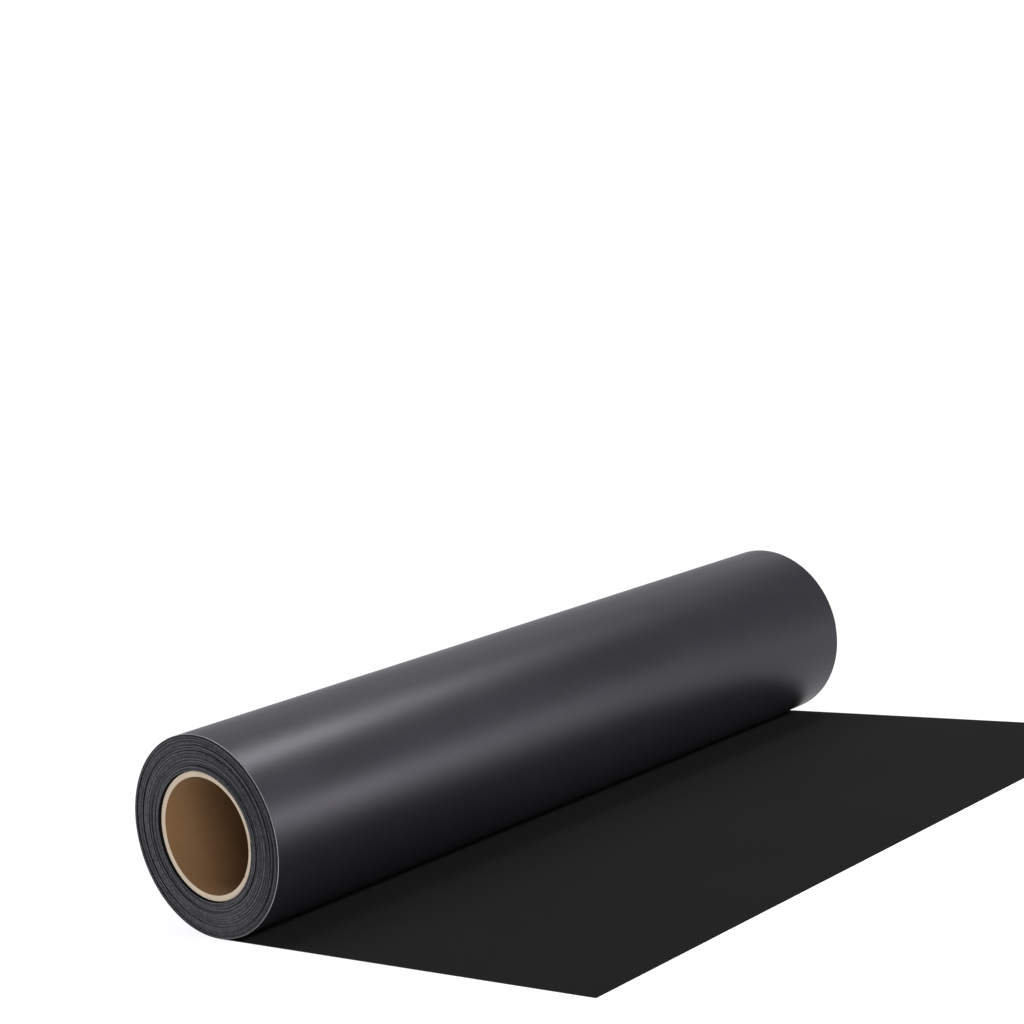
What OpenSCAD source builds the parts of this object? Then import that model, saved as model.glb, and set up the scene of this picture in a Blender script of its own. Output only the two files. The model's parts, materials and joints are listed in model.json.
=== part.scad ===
// A roll of self-adhesive sign vinyl lying on its side, with a length of the sheet laid out flat.
//
// The web is three layers: a clear release liner, the adhesive and the vinyl film. It is wound with
// the film inwards, so the liner is the outside of the roll and the underside of the laid sheet.
// The roll's axis is the Y axis. The sheet leaves the roll at its lowest line and runs along +X.

/* [Web] */
// Width of the web, which is the length of the roll
web_w = 610; // [300:10:1370]
// Thickness of the release liner
liner_t = 0.12; // [0.08:0.01:0.16]
// Thickness of the adhesive
adhesive_t = 0.04; // [0.03:0.01:0.06]
// Thickness of the vinyl film
film_t = 0.14; // [0.08:0.01:0.18]

/* [Roll] */
// Outer diameter of the wound roll
roll_d = 131; // [115:1:180]
// Largest sideways step between neighbouring bands of wraps at the roll's ends
band_step = 0.8; // [0:0.1:2]
// Air between neighbouring bands of wraps
band_gap = 0.12; // [0.05:0.01:0.2]

/* [Core] */
// Inner diameter of the board core
core_bore_d = 76.2; // [76:0.1:77]
// Thickness of the core's wall
core_wall = 3.6; // [3:0.1:6]
// Depth of the core's ends inside the ends of the roll
core_recess = 1.3; // [0:0.1:6]
// Length of each piece of tape that holds the first wrap on the core
tape_l = 50; // [20:5:60]
// Width of the tape, measured round the core
tape_w = 25; // [12:1:40]
// Thickness of the tape
tape_t = 0.1; // [0.08:0.01:0.2]

/* [Laid sheet] */
// Length of the sheet from the line under the roll to its free edge
laid_l = 305; // [150:5:600]
// Width of the strip along the free edge that lifts
edge_w = 50; // [40:5:80]
// Width of the film along the free edge that peels from its liner
peel_w = 25; // [15:5:30]

/* [Hidden] */
$fn = 96;
// Board plies in the core, pieces of tape on it, and bands of wraps with the wraps in each
PLIES = 8;
TAPES = 3;
BAND_WRAPS = [13, 9, 12, 7, 8, 6, 6, 5, 4, 2];
BANDS = len(BAND_WRAPS);
// Radial running gap between the last wrap, which travels, and the bands inside it, which turn
wrap_gap = 0.3;
// Extra length that carries a cut past the faces it opens
cut = 1;

web_t = liner_t + adhesive_t + film_t;
roll_r = roll_d / 2;
core_r = core_bore_d / 2;
core_l = web_w - 2 * core_recess;
ply_t = core_wall / PLIES;
floor_z = -(roll_r + web_t);
lift_x = laid_l - edge_w;
peel_x = laid_l - peel_w;

// The bands fill the roll from the tape on the core to the gap inside the last wrap
wound_r0 = core_r + core_wall + tape_t;
wound_r1 = roll_r - web_t - wrap_gap;
wrap_share = (wound_r1 - wound_r0 - (BANDS - 1) * band_gap) / wraps_before(BANDS);

// Depth of each layer's outer face below the outer face of the web
adhesive_depth = liner_t;
film_depth = liner_t + adhesive_t;

liner_colour = "#3a3a42";
adhesive_colour = "#55555c";
film_colour = "#232325";
wound_colour = "#2e2e33";
core_colour = "#c9b094";
tape_colour = "#e6e0cf";

// Wraps in all the bands before band n, counted from 0
function wraps_before(n) = n == 0 ? 0 : BAND_WRAPS[n - 1] + wraps_before(n - 1);

// Inner radius of band n, counted from 1 at the core
function band_r0(n) = wound_r0 + wraps_before(n - 1) * wrap_share + (n - 1) * band_gap;

// Sideways place of band n: neighbours step to and fro, as hand-guided winding leaves them
function band_y(n) = -band_step / 2 * sin(n * 130);

// Turns a shape drawn along Z so that it lies along Y, centred on the roll's middle
module along_roll() {
    rotate([-90, 0, 0]) children();
}

// A tube on the roll's axis
module tube(r0, r1, length, y = 0) {
    translate([0, y, 0]) along_roll() difference() {
        cylinder(h = length, r = r1, center = true);
        cylinder(h = length + 2 * cut, r = r0, center = true);
    }
}

// Part of a tube, from angle a over the given sweep; 0 degrees is +X and 90 degrees is down
module tube_arc(r0, r1, length, a, sweep) {
    along_roll() rotate([0, 0, a]) rotate_extrude(angle = sweep)
        translate([r0, -length / 2]) square([r1 - r0, length]);
}

// One board ply of the core, counted from the bore
module core_ply(n) {
    color(core_colour) tube(core_r + (n - 1) * ply_t, core_r + n * ply_t, core_l);
}

// One piece of the tape under the first wrap. The first and last lie near the core's ends.
module start_tape(n) {
    tape_r = core_r + core_wall;
    tape_a = tape_w / tape_r * 180 / PI;
    tape_y = ((n - 1) / (TAPES - 1) - 0.5) * (core_l - 2 * tape_l);
    translate([0, tape_y, 0]) color(tape_colour)
        tube_arc(tape_r, tape_r + tape_t, tape_l, -90 - tape_a / 2, tape_a);
}

// One band of wraps that were wound with the same sideways place
module wound_band(n) {
    r0 = band_r0(n);
    color(wound_colour) tube(r0, r0 + BAND_WRAPS[n - 1] * wrap_share, web_w, band_y(n));
}

// One layer of the last wrap. Its front half lies round the roll's axis. Its back half lies round
// a centre half a web thickness lower, so it leaves the top of the front half smoothly and meets
// the laid sheet one web thickness below the roll: this is the step of the spiral.
module wrap_layer(depth, t) {
    back_r = roll_r + web_t / 2 - depth;
    tube_arc(roll_r - depth - t, roll_r - depth, web_w, -90, 180);
    translate([0, 0, -web_t / 2]) tube_arc(back_r - t, back_r, web_w, 90, 180);
}

module wrap_liner() { color(liner_colour) wrap_layer(0, liner_t); }
module wrap_adhesive() { color(adhesive_colour) wrap_layer(adhesive_depth, adhesive_t); }
module wrap_film() { color(film_colour) wrap_layer(film_depth, film_t); }

// One layer of the flat sheet between two places along X
module flat_layer(depth, t, x0, x1) {
    translate([x0, -web_w / 2, floor_z + depth]) cube([x1 - x0, web_w, t]);
}

// The sheet from the line under the roll to the strip along its free edge
module laid_liner() { color(liner_colour) flat_layer(0, liner_t, 0, lift_x); }
module laid_adhesive() { color(adhesive_colour) flat_layer(adhesive_depth, adhesive_t, 0, lift_x); }
module laid_film() { color(film_colour) flat_layer(film_depth, film_t, 0, lift_x); }

// The strip along the free edge that lifts: the liner to the end, and the film that stays on it
module edge_liner() { color(liner_colour) flat_layer(0, liner_t, lift_x, laid_l); }
module edge_adhesive() { color(adhesive_colour) flat_layer(adhesive_depth, adhesive_t, lift_x, peel_x); }
module edge_film() { color(film_colour) flat_layer(film_depth, film_t, lift_x, peel_x); }

// The narrower strip of film that peels from the liner with its adhesive
module peel_adhesive() { color(adhesive_colour) flat_layer(adhesive_depth, adhesive_t, peel_x, laid_l); }
module peel_film() { color(film_colour) flat_layer(film_depth, film_t, peel_x, laid_l); }

for (i = [1 : PLIES]) core_ply(i);
for (i = [1 : TAPES]) start_tape(i);
for (i = [1 : BANDS]) wound_band(i);
wrap_liner();
wrap_adhesive();
wrap_film();
laid_liner();
laid_adhesive();
laid_film();
edge_liner();
edge_adhesive();
edge_film();
peel_adhesive();
peel_film();
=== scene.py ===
"""The looks of a roll of sign vinyl that lies on its side with some of its sheet laid out flat.

The web is a clear release liner, adhesive and a dark vinyl film. It is wound with the film
inwards, so the liner is the roll's satin outside and the underside of the laid sheet.
The roll's axis is Y, the sheet is laid out along +X, and lengths are in metres.
"""
import json
import math

import bpy
import numpy as np
from mathutils import Matrix, Vector


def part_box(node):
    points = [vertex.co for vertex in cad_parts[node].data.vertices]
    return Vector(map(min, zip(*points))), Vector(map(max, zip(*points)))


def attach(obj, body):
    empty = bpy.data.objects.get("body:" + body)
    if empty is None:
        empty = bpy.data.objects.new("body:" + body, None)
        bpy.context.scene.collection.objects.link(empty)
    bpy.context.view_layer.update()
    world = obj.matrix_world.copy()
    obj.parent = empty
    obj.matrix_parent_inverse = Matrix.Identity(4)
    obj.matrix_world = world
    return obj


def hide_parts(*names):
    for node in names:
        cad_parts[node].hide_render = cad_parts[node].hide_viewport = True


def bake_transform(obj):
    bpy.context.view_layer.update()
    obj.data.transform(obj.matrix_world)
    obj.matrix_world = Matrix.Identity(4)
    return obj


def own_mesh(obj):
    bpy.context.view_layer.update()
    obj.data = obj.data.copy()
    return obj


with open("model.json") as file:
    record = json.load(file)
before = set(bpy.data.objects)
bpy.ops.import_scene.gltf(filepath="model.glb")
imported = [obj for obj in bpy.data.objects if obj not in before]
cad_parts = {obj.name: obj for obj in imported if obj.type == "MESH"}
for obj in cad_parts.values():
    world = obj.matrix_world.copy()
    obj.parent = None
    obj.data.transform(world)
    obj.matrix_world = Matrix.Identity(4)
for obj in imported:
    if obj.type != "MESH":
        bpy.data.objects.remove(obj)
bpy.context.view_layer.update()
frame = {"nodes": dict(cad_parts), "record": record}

MM = 0.001

# ---------------------------------------------------------------- sizes, from the frame
wrap_lo, wrap_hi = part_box("wrap_liner")
ROLL_R = wrap_hi.z
FLOOR_Z = wrap_lo.z
WEB_T = -FLOOR_Z - ROLL_R
HALF_W = wrap_hi.y
LINER_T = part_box("laid_liner")[1].z - FLOOR_Z
ADHESIVE_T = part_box("laid_adhesive")[1].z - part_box("laid_adhesive")[0].z
FILM_T = WEB_T - LINER_T - ADHESIVE_T
LIFT_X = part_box("laid_film")[1].x
PEEL_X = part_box("edge_film")[1].x
EDGE_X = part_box("peel_film")[1].x

PLIES = sorted(n for n in frame["nodes"] if n.startswith("core_ply_"))
TAPES = sorted(n for n in frame["nodes"] if n.startswith("start_tape_"))
BANDS = sorted((n for n in frame["nodes"] if n.startswith("wound_band_")), key=lambda n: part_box(n)[1].z)
BORE_R = frame["record"]["mounts"][0]["dims"]["r_mm"] * MM
CORE_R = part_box(PLIES[-1])[1].z
PLY_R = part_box(PLIES[0])[1].z
CORE_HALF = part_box(PLIES[0])[1].y
WOUND_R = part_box(BANDS[-1])[1].z
TAPE_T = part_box(TAPES[0])[1].z - CORE_R

# ---------------------------------------------------------------- sizes that only the looks have
WRAPS = 72                  # turns of web between the tape and the last wrap
PER_TURN = 96               # stations in one turn of the wound web, and of the core's inner ply
HALF_TURN = 192             # steps in half a turn of the last wrap
WRAP_LINES = 25             # grid lines across the last wrap's width
SHEET_LINES = 49            # grid lines across the laid sheet's width
PACKED = 0.9                # a wound turn's thickness as a share of the web's; the rest is air
PROUD = 0.03 * MM           # how far the liner's slit edge stands out past the film's
EDGE_SLANT = 0.20 * MM      # how much narrower the last wrap's outer face is, at each side
PLY_ADVANCE = 110 * MM      # travel of the core's inner ply along the core in one turn
PLY_SEAM = 0.3 * MM         # gap between its neighbouring turns
PLY_START = math.radians(-40)
SHEET_STEP = 4 * MM         # grid of the laid sheet along X
BEND_STEP = 1 * MM          # grid of the edge and peel strips
FLOOR_GAP = 0.05 * MM       # the floor lies this far below the sheet, so the faces don't coincide
FLOOR_HALF = 30.0
SHARP = math.radians(35)

# the three layers of the web: name, depth of the outer face below the web's outer face, thickness
LAYERS = [
    ("liner", 0.0, LINER_T),
    ("adhesive", LINER_T, ADHESIVE_T),
    ("film", LINER_T + ADHESIVE_T, FILM_T),
]

# colours of the layers' slit edges: the laid sheet's are clean, and the last wrap's are painted pale as a
# painted highlight, the light that the roll's rim catches
CLEAN = {"liner": (0.62, 0.62, 0.66), "adhesive": (0.12, 0.12, 0.125), "film": (0.022, 0.022, 0.023)}
PAINTED_RIM_HIGHLIGHT = {"liner": (0.46, 0.45, 0.48), "adhesive": (0.34, 0.34, 0.36), "film": (0.22, 0.22, 0.225)}

# where the wound web is loose: turns from the core, and the widest gap there
LOOSE = [(-0.05, 1.0 * MM), (11.87, 0.15 * MM), (21.14, 0.15 * MM), (31.33, 0.15 * MM), (47.94, 0.3 * MM),
         (54.53, 0.15 * MM), (60.54, 0.4 * MM), (66.58, 0.25 * MM), (69.17, 0.15 * MM)]

# uneven rings on the roll's end: (radial spacing, turns of slant round the roll, size)
WANDER = [(1.3 * MM, 1, 0.06 * MM), (1.9 * MM, -1, 0.07 * MM), (2.9 * MM, 2, 0.09 * MM),
          (4.7 * MM, -1, 0.12 * MM), (9.1 * MM, 1, 0.15 * MM)]
PALENESS = [(1.25 * MM, 2, 0.25), (1.6 * MM, -1, 0.35), (1.95 * MM, 1, 0.35), (2.5 * MM, -2, 0.18),
            (4.7 * MM, 3, 0.05)]
SEED = 7
MEAN_TONE, LEAST_TONE = 0.42, 0.03      # how pale the liner's edge is, from 0 to 1
FILM_TONE, FILM_LIMIT = 0.25, 0.5       # the film's edge follows it by this share, up to a limit


# ---------------------------------------------------------------- node trees
def connect(tree, target, value):
    """Sets an input socket to a value, or links a node's output to it."""
    if isinstance(value, bpy.types.NodeSocket):
        tree.links.new(value, target)
    else:
        target.default_value = value


def add_node(tree, kind, output=0, inputs=(), **settings):
    """Adds a node, fills its inputs from (socket, value or output) pairs and returns an output."""
    n = tree.nodes.new("ShaderNode" + kind)
    for key, value in settings.items():
        setattr(n, key, value)
    for socket, value in inputs:
        connect(tree, n.inputs[socket], value)
    return n.outputs[output]


def add_remap(tree, value, lo, hi, from_lo, from_hi, **settings):
    """Maps a value from one range to another, held at its ends."""
    return add_node(tree, "MapRange", 0, [("Value", value), ("From Min", from_lo), ("From Max", from_hi),
                                          ("To Min", lo), ("To Max", hi)], **settings)


class Look:
    """A material with one Principled shader, and short calls for the nodes that feed it."""

    def __init__(self, name, specular):
        self.material = bpy.data.materials.new(name)
        self.material.use_nodes = True
        self.tree = self.material.node_tree
        self.shader = self.tree.nodes["Principled BSDF"]
        self.set("Specular IOR Level", specular)

    def set(self, socket, value):
        """Sets a shader socket to a value, or links a node's output to it."""
        connect(self.tree, self.shader.inputs[socket], value)

    def node(self, kind, output=0, inputs=(), **settings):
        return add_node(self.tree, kind, output, inputs, **settings)

    def place(self):
        """Object coordinates, which stay with the piece as it moves."""
        return self.node("TexCoord", "Object")

    def stretched(self, scale):
        """Object coordinates scaled along each axis, for grain that runs one way."""
        return self.node("Mapping", 0, [("Vector", self.place()), ("Scale", scale)])

    def noise(self, scale, detail=3.0, rough=0.5, place=None):
        """Fractal noise at object coordinates or at a given place; scale is features per metre."""
        return self.node("TexNoise", "Fac", [("Vector", place or self.place()), ("Scale", scale),
                                             ("Detail", detail), ("Roughness", rough)])

    def remap(self, value, lo, hi, from_lo=0.3, from_hi=0.7, **settings):
        """Maps a value to a range; a noise value lies mostly between 0.3 and 0.7."""
        return add_remap(self.tree, value, lo, hi, from_lo, from_hi, **settings)

    def add(self, a, b):
        return self.node("Math", 0, [(0, a), (1, b)], operation="ADD")

    def times(self, a, b):
        return self.node("Math", 0, [(0, a), (1, b)], operation="MULTIPLY")

    def blend(self, a, b, share):
        """The sum of a and b, of which a has the given share."""
        return self.add(self.times(a, share), self.times(b, 1 - share))

    def mix(self, factor, a, b):
        """Mixes two colours, each a node's output or a triple. The Mix node's colours are its
        inputs 6 and 7, and its output 2."""
        a, b = ((*c, 1) if isinstance(c, tuple) else c for c in (a, b))
        return self.node("Mix", 2, [(0, factor), (6, a), (7, b)], data_type="RGBA")

    def bump(self, height, depth, strength):
        """Fine relief from a height of 0 to 1, where 1 stands out by depth."""
        inputs = [("Height", height), ("Distance", depth), ("Strength", strength)]
        self.set("Normal", self.node("Bump", 0, inputs))


def liner_look():
    """The clear liner over dark film: satin, with a faint grain, soft cloudy changes of gloss and
    a thin scuffed line along each slit edge."""
    look = Look("release_liner_satin", specular=0.3)
    look.set("Specular Tint", (0.93, 0.895, 1.0, 1))
    cloud = look.noise(14, detail=4, rough=0.55, place=look.stretched((1, 0.5, 1)))
    grain = look.noise(1400, detail=2, rough=0.6)
    base = look.mix(look.remap(cloud, 0, 1), (0.0052, 0.0050, 0.0064), (0.0064, 0.0061, 0.0078))
    across = look.node("SeparateXYZ", "Y", [(0, look.place())])
    from_middle = look.node("Math", 0, [(0, across)], operation="ABSOLUTE")
    scuff = look.remap(from_middle, 0, 1, from_lo=HALF_W - 0.6 * MM, from_hi=HALF_W - 0.25 * MM)
    worn = look.times(scuff, look.remap(look.noise(240, rough=0.6), 0.35, 1.0))
    look.set("Base Color", look.mix(worn, base, (0.035, 0.035, 0.038)))
    rough = look.add(look.remap(cloud, -0.03, 0.03), look.remap(grain, 0.36, 0.43))
    look.set("Roughness", look.add(rough, look.times(worn, 0.15)))
    look.bump(look.add(grain, look.times(cloud, 6.0)), depth=0.02 * MM, strength=0.5)
    return look.material


def film_look():
    """The matte face of the dark film: even, with a very fine cast grain."""
    look = Look("vinyl_film_matte", specular=0.008)
    grain = look.noise(2200, detail=2, rough=0.6)
    cloud = look.noise(9)
    tone = look.remap(look.blend(grain, cloud, 0.35), 0, 1)
    look.set("Base Color", look.mix(tone, (0.0076, 0.0076, 0.0077), (0.0083, 0.0083, 0.0083)))
    look.set("Roughness", look.remap(grain, 0.82, 0.96))
    look.bump(grain, depth=0.015 * MM, strength=0.4)
    return look.material


def adhesive_look():
    """Tacky grey adhesive, glossier than the film."""
    look = Look("adhesive_grey", specular=0.5)
    look.set("Base Color", (0.05, 0.05, 0.052, 1))
    look.set("Roughness", look.remap(look.noise(600), 0.24, 0.42))
    look.bump(look.noise(260, detail=4), depth=0.02 * MM, strength=0.5)
    return look.material


def slit_edge_look(name, colour):
    """The slit edge of one layer: a dry face with fine burrs along the cut. On the last wrap its colour is
    a painted highlight.
    """
    look = Look(name, specular=0.3)
    look.set("Roughness", 0.6)
    burr = look.noise(900, rough=0.6)
    # patches make the edge's colour uneven; on the last wrap they break up its painted highlight
    patches = look.noise(45, rough=0.6)
    tone = look.times(look.remap(burr, 0.75, 1), look.remap(patches, 0.45, 1))
    look.set("Base Color", look.mix(tone, (0.01, 0.01, 0.01), colour))
    look.bump(burr, depth=0.03 * MM, strength=0.5)
    return look.material


def wound_edges_look():
    """The slit edges of the wound web: near-black film between pale lines of liner, with cut dust.

    The mesh says how pale each place is, from film to clean liner, as its cut_tone."""
    look = Look("wound_web_edges", specular=0.3)
    cut_tone = look.node("Attribute", "Fac", attribute_name="cut_tone")
    dust = look.noise(700, detail=4, rough=0.7)
    patch = look.noise(210, detail=2)
    specks = look.remap(dust, 0.3, 1.8, from_lo=0.36, from_hi=0.64)
    dusty = look.times(specks, look.remap(patch, 0.75, 1.25))
    tone = look.remap(look.times(cut_tone, dusty), 0, 1, from_lo=0, from_hi=1)
    look.set("Base Color", look.mix(tone, (0.008, 0.0078, 0.0092), (0.210, 0.207, 0.231)))
    look.set("Roughness", look.remap(dust, 0.5, 0.75))
    look.bump(dust, depth=0.08 * MM, strength=0.7)
    return look.material


def bore_look():
    """The core's inner kraft ply: brown, with long fibres along the bore and a dry matte face."""
    light, dark, speck = (0.262, 0.150, 0.068), (0.222, 0.126, 0.056), (0.111, 0.063, 0.028)
    look = Look("core_bore_kraft", specular=0.2)
    fibre = look.noise(260, detail=5, rough=0.6, place=look.stretched((1, 0.25, 1)))
    cloud = look.noise(30)
    base = look.mix(look.remap(look.blend(fibre, cloud, 0.4), 0, 1), dark, light)
    speckled = look.remap(look.noise(1500, detail=1), 0, 0.35, from_lo=0.68, from_hi=0.76)
    look.set("Base Color", look.mix(speckled, base, speck))
    look.set("Roughness", look.remap(fibre, 0.8, 0.95))
    look.bump(fibre, depth=0.05 * MM, strength=0.5)
    return look.material


def board_end_look(name, tint):
    """The sawn end of a core ply: pale board with a fuzzy fibre grain, darkened by tint."""
    light = (0.645 * tint, 0.547 * tint, 0.423 * tint)
    dark = (0.57 * tint, 0.472 * tint, 0.358 * tint)
    look = Look(name, specular=0.15)
    fibre = look.noise(1300, detail=4, rough=0.65)
    cloud = look.noise(120)
    look.set("Base Color", look.mix(look.remap(look.blend(fibre, cloud, 0.5), 0, 1), dark, light))
    look.set("Roughness", look.remap(fibre, 0.85, 0.98))
    look.bump(fibre, depth=0.1 * MM, strength=0.6)
    return look.material


def tape_look():
    """Cream paper tape with a fine crepe along it."""
    look = Look("start_tape_crepe", specular=0.3)
    look.set("Roughness", 0.7)
    crepe = look.noise(900, rough=0.6, place=look.stretched((1, 0.2, 1)))
    look.set("Base Color", look.mix(look.remap(crepe, 0, 1), (0.62, 0.56, 0.43), (0.76, 0.70, 0.56)))
    look.bump(crepe, depth=0.05 * MM, strength=0.6)
    return look.material


def floor_look():
    """A pale, plain floor that glows a little all over, as a light table does, for soft shadows. On top of
    that glow it has a painted pool of light in front of the roll's right side, which the roll mirrors."""
    look = Look("floor_pale", specular=0.0)
    look.set("Roughness", 0.8)
    tone = look.remap(look.noise(2.5, detail=2), 0, 1)
    look.set("Base Color", look.mix(tone, (0.078, 0.078, 0.078), (0.082, 0.082, 0.082)))
    look.set("Emission Color", (1, 0.99, 1.01, 1))
    # the floor glows evenly, with a painted pool of light round this point in front of the roll's right
    # side
    pool_centre = (0.62, 0.0, FLOOR_Z)
    away = look.node("VectorMath", "Value", [(0, look.place()), (1, pool_centre)], operation="DISTANCE")
    painted_glow = look.remap(away, 1.75, 0.93, from_lo=0.20, from_hi=0.58, interpolation_type="SMOOTHSTEP")
    look.set("Emission Strength", painted_glow)
    return look.material


# ---------------------------------------------------------------- meshes
def new_piece(name, vertices, faces, materials, body, replaced, cut):
    """A mesh object, smooth where it is round and sharp at its edges.

    cut lists the faces that take the second material. A piece without a body is given its
    place by the caller."""
    mesh = bpy.data.meshes.new(name)
    mesh.from_pydata([tuple(v) for v in vertices], [], [tuple(f) for f in faces])
    for m in materials:
        mesh.materials.append(m)
    for i in cut:
        mesh.polygons[i].material_index = 1
    mesh.shade_smooth()
    mesh.set_sharp_from_angle(angle=SHARP)
    piece = bpy.data.objects.new(name, mesh)
    bpy.context.scene.collection.objects.link(piece)
    if body:
        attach(piece, body)
    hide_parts(*replaced)
    return piece


def ring_faces(stations, corners):
    """Quads that join rings of corners station by station, with a cap on the first and the last."""
    faces = []
    for i in range(stations - 1):
        a, b = i * corners, (i + 1) * corners
        for k in range(corners):
            m = (k + 1) % corners
            faces.append((a + k, b + k, b + m, a + m))
    faces.append(tuple(range(corners)))
    faces.append(tuple((stations - 1) * corners + k for k in reversed(range(corners))))
    return faces


def side_faces(stations, corners):
    """The faces of ring_faces at both sides of a layer and at its two ends: the slit and cut edges."""
    sides = [i * corners + k for i in range(stations - 1) for k in (corners // 2 - 1, corners - 1)]
    caps = (stations - 1) * corners
    return sides + [caps, caps + 1]


def ripple(radius, angle, waves, rng):
    """The sum of the given rings at each place, each with a random start."""
    total = np.zeros_like(radius)
    for spacing, slant, size in waves:
        total += size * np.sin(2 * math.pi * (radius / spacing + rng.random()) + slant * angle)
    return total


def loosened(turn, pitch, r_in):
    """Mean radius of the wound web at each turn count.

    Past each entry of LOOSE the wraps stand off by up to its gap on one side of the roll. At each
    angle the wraps are then packed a little closer, so that the last ones end where a perfectly
    tight spiral of this pitch would."""
    tight = pitch * (turn + 0.5)
    stand_off = np.zeros_like(turn)
    for at, gap in LOOSE:
        stand_off += np.where(turn > at, gap * (0.5 - 0.5 * np.cos(2 * math.pi * (turn - at))) ** 2, 0)
    packing = 1 - stand_off[-PER_TURN:] / tight[-PER_TURN:]
    return r_in + tight * packing[np.arange(len(turn)) % PER_TURN] + stand_off


def band_steps(turn, pitch, r_in):
    """Sideways place of the wound web at each turn count: each CAD band's own, with the change
    from one to the next eased over a third of a turn."""
    step = np.zeros_like(turn)
    band_start = 0.0
    for name in BANDS:
        lo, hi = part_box(name)
        step[turn >= band_start] = (lo.y + hi.y) / 2
        band_start = (hi.z - r_in) / pitch
    ease = PER_TURN // 3
    return np.convolve(np.pad(step, ease, mode="edge"), np.ones(ease) / ease, mode="same")[ease:-ease]


def wound_web(materials):
    """The wound part of the web as one real spiral, from the tape on the core to the last wrap.

    Each band of the CAD is a run of wraps with its own sideways place. Within a band the web
    wanders a little from side to side, as it does when it is wound by machine. The liner's edge
    stands just proud of the film's."""
    rng = np.random.default_rng(SEED)
    thickness = PACKED * WEB_T
    film_share = 1 - LINER_T / WEB_T
    r_in = CORE_R + TAPE_T
    pitch = (WOUND_R - r_in) / WRAPS
    turn = np.arange(WRAPS * PER_TURN) / PER_TURN
    angle = 2 * math.pi * turn
    radius = loosened(turn, pitch, r_in)
    shift = band_steps(turn, pitch, r_in) + ripple(radius, angle, WANDER, rng)
    liner_tone = (MEAN_TONE + ripple(radius, angle, PALENESS, rng)).clip(LEAST_TONE, 1)
    film_tone = FILM_TONE * liner_tone.clip(0, FILM_LIMIT)

    vertices, tones = [], []
    for a, r, s, film_here, liner_here in zip(angle, radius, shift, film_tone, liner_tone):
        c, d = math.cos(a), -math.sin(a)
        r0, r1 = r - thickness / 2, r + thickness / 2
        rm = r0 + film_share * thickness
        near, far = -HALF_W + s, HALF_W + s
        for rr, y in ((r0, near), (rm, near), (rm, near - PROUD), (r1, near - PROUD),
                      (r1, far + PROUD), (rm, far + PROUD), (rm, far), (r0, far)):
            vertices.append((rr * c, y, rr * d))
        tones += [0, film_here, liner_here, liner_here, liner_here, liner_here, film_here, 0]
    corners = 8
    faces = ring_faces(len(turn), corners)
    long_faces = [i * corners + k for i in range(len(turn) - 1) for k in (3, 7)]
    piece = new_piece("wound_web", vertices, faces, materials, "roll", BANDS, long_faces)
    attribute = piece.data.attributes.new("cut_tone", "FLOAT", "POINT")
    attribute.data.foreach_set("value", np.array(tones, dtype=np.float32))


def wrap_stations(depth, thickness):
    """Stations round one layer of the last wrap: (angle, centre height, inner radius, outer radius).

    The front half lies round the roll's axis. The back half lies round a centre half a web
    thickness lower, so the wrap leaves the floor line one web thickness below the roll."""
    front, back = [], []
    for i in range(HALF_TURN + 1):
        a = math.pi * i / HALF_TURN
        front.append((a - math.pi / 2, 0.0, ROLL_R - depth - thickness, ROLL_R - depth))
        r1 = ROLL_R + WEB_T / 2 - depth
        back.append((a + math.pi / 2, -WEB_T / 2, r1 - thickness, r1))
    return front + back[1:]


def last_wrap(name, depth, thickness, materials):
    """One layer of the last wrap, from under the roll up its front, over its top and down its back.

    The blade has left its slit edges slanted: the outer face is a little narrower than the inner."""
    slant = EDGE_SLANT / WEB_T
    outer_ys = np.linspace(-1, 1, WRAP_LINES) * (HALF_W - slant * (WEB_T - depth))
    inner_ys = np.linspace(1, -1, WRAP_LINES) * (HALF_W - slant * (WEB_T - depth - thickness))
    stations = wrap_stations(depth, thickness)
    vertices = []
    for a, cz, r0, r1 in stations:
        c, s = math.cos(a), math.sin(a)
        vertices += [(r1 * c, y, cz + r1 * s) for y in outer_ys]
        vertices += [(r0 * c, y, cz + r0 * s) for y in inner_ys]
    corners = 2 * len(outer_ys)
    piece = new_piece(f"last_wrap_{name}", vertices, ring_faces(len(stations), corners), materials,
                      "outer_wrap", [f"wrap_{name}"], side_faces(len(stations), corners))


def flat_strip(part, layer, x0, x1, step):
    """One layer of a part of the sheet as a closed thin box with a fine grid.

    part is laid, edge or peel, and layer is a row of LAYERS."""
    name, depth, thickness = layer
    xs = np.linspace(x0, x1, round((x1 - x0) / step) + 1)
    ys = np.linspace(-HALF_W, HALF_W, SHEET_LINES)
    z0 = FLOOR_Z + depth
    vertices = []
    for x in xs:
        vertices += [(x, y, z0) for y in ys]
        vertices += [(x, y, z0 + thickness) for y in reversed(ys)]
    corners = 2 * len(ys)
    kind = "sheet" if part == "laid" else "strip"
    piece = new_piece(f"{part}_{name}_{kind}", vertices, ring_faces(len(xs), corners),
                      [surfaces[name], cuts[name]], None, [f"{part}_{name}"],
                      side_faces(len(xs), corners))
    return piece


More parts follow.
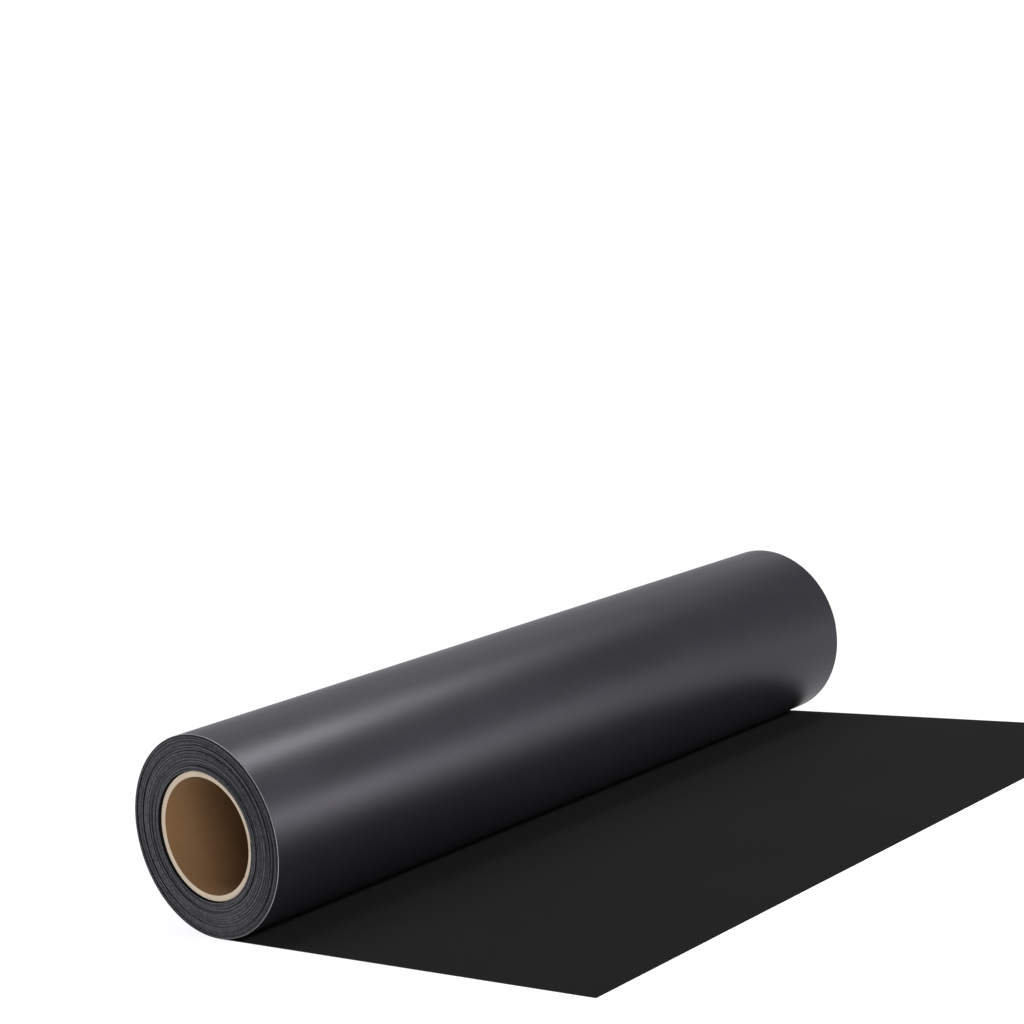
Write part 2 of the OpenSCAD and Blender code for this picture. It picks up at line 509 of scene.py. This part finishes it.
def inner_ply(bore, end):
    """The core's inner ply as one strip wound on a helix, trimmed square at the core's ends.

    Its neighbouring turns don't quite meet, which leaves the seam that a board core shows."""
    reach = CORE_HALF + PLY_ADVANCE
    vertices = []
    for i in range(round(2 * reach / PLY_ADVANCE * PER_TURN) + 1):
        y0 = -reach + PLY_ADVANCE * i / PER_TURN
        near, far = max(y0, -CORE_HALF), min(y0 + PLY_ADVANCE - PLY_SEAM, CORE_HALF)
        if far - near < PLY_SEAM:
            continue
        a = PLY_START + 2 * math.pi * i / PER_TURN
        c, s = math.cos(a), math.sin(a)
        for r, y in ((BORE_R, near), (BORE_R, far), (PLY_R, far), (PLY_R, near)):
            vertices.append((r * c, y, r * s))
    corners = 4
    stations = len(vertices) // corners
    ends = [i * corners + k for i in range(stations - 1) for k in (1, 3)]
    new_piece("core_inner_ply", vertices, ring_faces(stations, corners), [bore, end],
              "roll", [PLIES[0]], ends)


def paint(node, material):
    """Gives a node of the frame its one material."""
    materials = frame["nodes"][node].data.materials
    materials.clear()
    materials.append(material)


# ---------------------------------------------------------------- the roll
surfaces = {"liner": liner_look(), "adhesive": adhesive_look(), "film": film_look()}
cuts = {name: slit_edge_look(f"{name}_slit_edge", colour) for name, colour in CLEAN.items()}

wound_web([wound_edges_look(), surfaces["film"]])
for name, depth, thickness in LAYERS:
    # the last wrap's slit edges take a pale colour that is a painted highlight along the roll's rim
    rim_highlight = slit_edge_look(f"{name}_rubbed_edge", PAINTED_RIM_HIGHLIGHT[name])
    last_wrap(name, depth, thickness, [surfaces[name], rim_highlight])

board_ends = [board_end_look("core_board_end_odd", 1.0), board_end_look("core_board_end_even", 0.93)]
for i, node in enumerate(PLIES):
    paint(node, board_ends[i % 2])
inner_ply(bore_look(), board_ends[0])
tape = tape_look()
for node in TAPES:
    paint(node, tape)

# ---------------------------------------------------------------- the laid sheet
for layer in LAYERS:
    name = layer[0]
    piece = flat_strip("laid", layer, 0.0, LIFT_X, SHEET_STEP)
    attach(piece, "laid_sheet")
    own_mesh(piece)

    end = EDGE_X if name == "liner" else PEEL_X
    piece = flat_strip("edge", layer, LIFT_X, end, BEND_STEP)
    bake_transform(piece)

    if name != "liner":
        piece = flat_strip("peel", layer, PEEL_X, EDGE_X, BEND_STEP)
        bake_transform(piece)

# ---------------------------------------------------------------- floor
floor_z = FLOOR_Z - FLOOR_GAP
floor_corners = [(-FLOOR_HALF, -FLOOR_HALF, floor_z), (FLOOR_HALF, -FLOOR_HALF, floor_z),
                 (FLOOR_HALF, FLOOR_HALF, floor_z), (-FLOOR_HALF, FLOOR_HALF, floor_z)]
floor_mesh = bpy.data.meshes.new("floor")
floor_mesh.from_pydata(floor_corners, [], [(0, 1, 2, 3)])
floor = bpy.data.objects.new("floor", floor_mesh)
bpy.context.scene.collection.objects.link(floor)
floor_mesh.materials.append(floor_look())

# ---------------------------------------------------------------- world
world = bpy.data.worlds.new("studio")
bpy.context.scene.world = world
world.use_nodes = True
tree = world.node_tree
# the studio's walls are bright near the floor and dimmer higher up, and dimmest past the far end
direction = add_node(tree, "TexCoord", "Generated")
height = add_node(tree, "SeparateXYZ", "Z", [(0, direction)])
walls = add_remap(tree, height, 1.04, 0.31, from_lo=0.10, from_hi=0.40, interpolation_type="SMOOTHSTEP")
past_far_end = (0.29, 0.96, 0)
facing = add_node(tree, "VectorMath", "Value", [(0, direction), (1, past_far_end)], operation="DOT_PRODUCT")
dimmer = add_remap(tree, facing, 1.0, 0.15, from_lo=0.78, from_hi=0.94)
studio_light = add_node(tree, "Math", 0, [(0, walls), (1, dimmer)], operation="MULTIPLY")
background = tree.nodes["Background"]
connect(tree, background.inputs["Color"], (1, 0.975, 1.04, 1))
connect(tree, background.inputs["Strength"], studio_light)
# what the camera itself sees behind the object is plain white
backdrop = add_node(tree, "Background", 0, [("Color", (1, 1, 1, 1)), ("Strength", 1.05)])
camera_ray = add_node(tree, "LightPath", "Is Camera Ray")
seen = add_node(tree, "MixShader", 0, [(0, camera_ray), (1, background.outputs[0]), (2, backdrop)])
connect(tree, tree.nodes["World Output"].inputs["Surface"], seen)
bpy.context.scene.view_settings.view_transform = "Standard"


# ---------------------------------------------------------------- lights
def add_lamp(data, turn, place=(0, 0, 0)):
    """Puts a light in the scene; it shines along its own -Z."""
    lamp = bpy.data.objects.new(data.name, data)
    lamp.location = place
    lamp.rotation_mode = "QUATERNION"
    lamp.rotation_quaternion = turn
    bpy.context.scene.collection.objects.link(lamp)
    return lamp


def softbox(name, place, aim, size, power):
    """A rectangular area light that looks at a point. The camera doesn't see it."""
    data = bpy.data.lights.new(name, "AREA")
    data.shape = "RECTANGLE"
    data.size, data.size_y = size
    data.energy = power
    lamp = add_lamp(data, (Vector(aim) - Vector(place)).to_track_quat("-Z", "Y"), place)
    lamp.visible_camera = False


def sun(name, towards, strength, spread_deg):
    """A broad distant light that comes from the given direction."""
    data = bpy.data.lights.new(name, "SUN")
    data.energy = strength
    data.angle = math.radians(spread_deg)
    add_lamp(data, Vector(towards).to_track_quat("Z", "Y"))


# the roll mirrors each softbox as a soft band: overhead on its right shoulder, side on its right
# flank, back along its top, and far along the top of its far end
softbox("overhead", place=(0.20, 0.58, 1.25), aim=(0, -0.2, 0), size=(0.33, 0.36), power=11.2)
softbox("side", place=(1.45, 0.83, 0.23), aim=(0, -0.2, 0), size=(0.42, 0.48), power=9)
softbox("back", place=(-1.25, 1.4, 1.6), aim=(0, -0.1, 0), size=(1.3, 1.3), power=3.7)
softbox("far", place=(-1.05, 2.85, 1.15), aim=(0, 0.3, 0), size=(0.8, 0.8), power=1.5)

# the suns light the laid sheet and the near end; the roll mirrors none of them to this camera
sun("left", towards=(-0.36, 0, 0.93), strength=1.6, spread_deg=40)
sun("right", towards=(0.84, 0.10, 0.54), strength=4.3, spread_deg=9)
sun("front", towards=(0.85, -0.45, 0.28), strength=1.05, spread_deg=30)

# ---------------------------------------------------------------- camera
YAW, PITCH, TILT = 0.732, 0.124, 0.125      # radians
CAMERA_PLACE = Vector((1.1482, -1.2621, 0.3621))
FOCAL_PX = 2437
IMAGE_PX = 1024
SENSOR_MM = 36
forward = Vector((-math.cos(PITCH) * math.sin(YAW), math.cos(PITCH) * math.cos(YAW), -math.sin(PITCH)))
level = Vector((math.cos(YAW), math.sin(YAW), 0))
plumb = forward.cross(level)
right = math.cos(TILT) * level + math.sin(TILT) * plumb
down = -math.sin(TILT) * level + math.cos(TILT) * plumb
camera_data = bpy.data.cameras.new("camera")
camera_data.lens = FOCAL_PX / IMAGE_PX * SENSOR_MM
camera = bpy.data.objects.new("camera", camera_data)
axes = Matrix((right, -down, -forward)).transposed()
camera.matrix_world = Matrix.Translation(CAMERA_PLACE) @ axes.to_4x4()
bpy.context.scene.collection.objects.link(camera)
bpy.context.scene.camera = camera

bpy.context.view_layer.update()
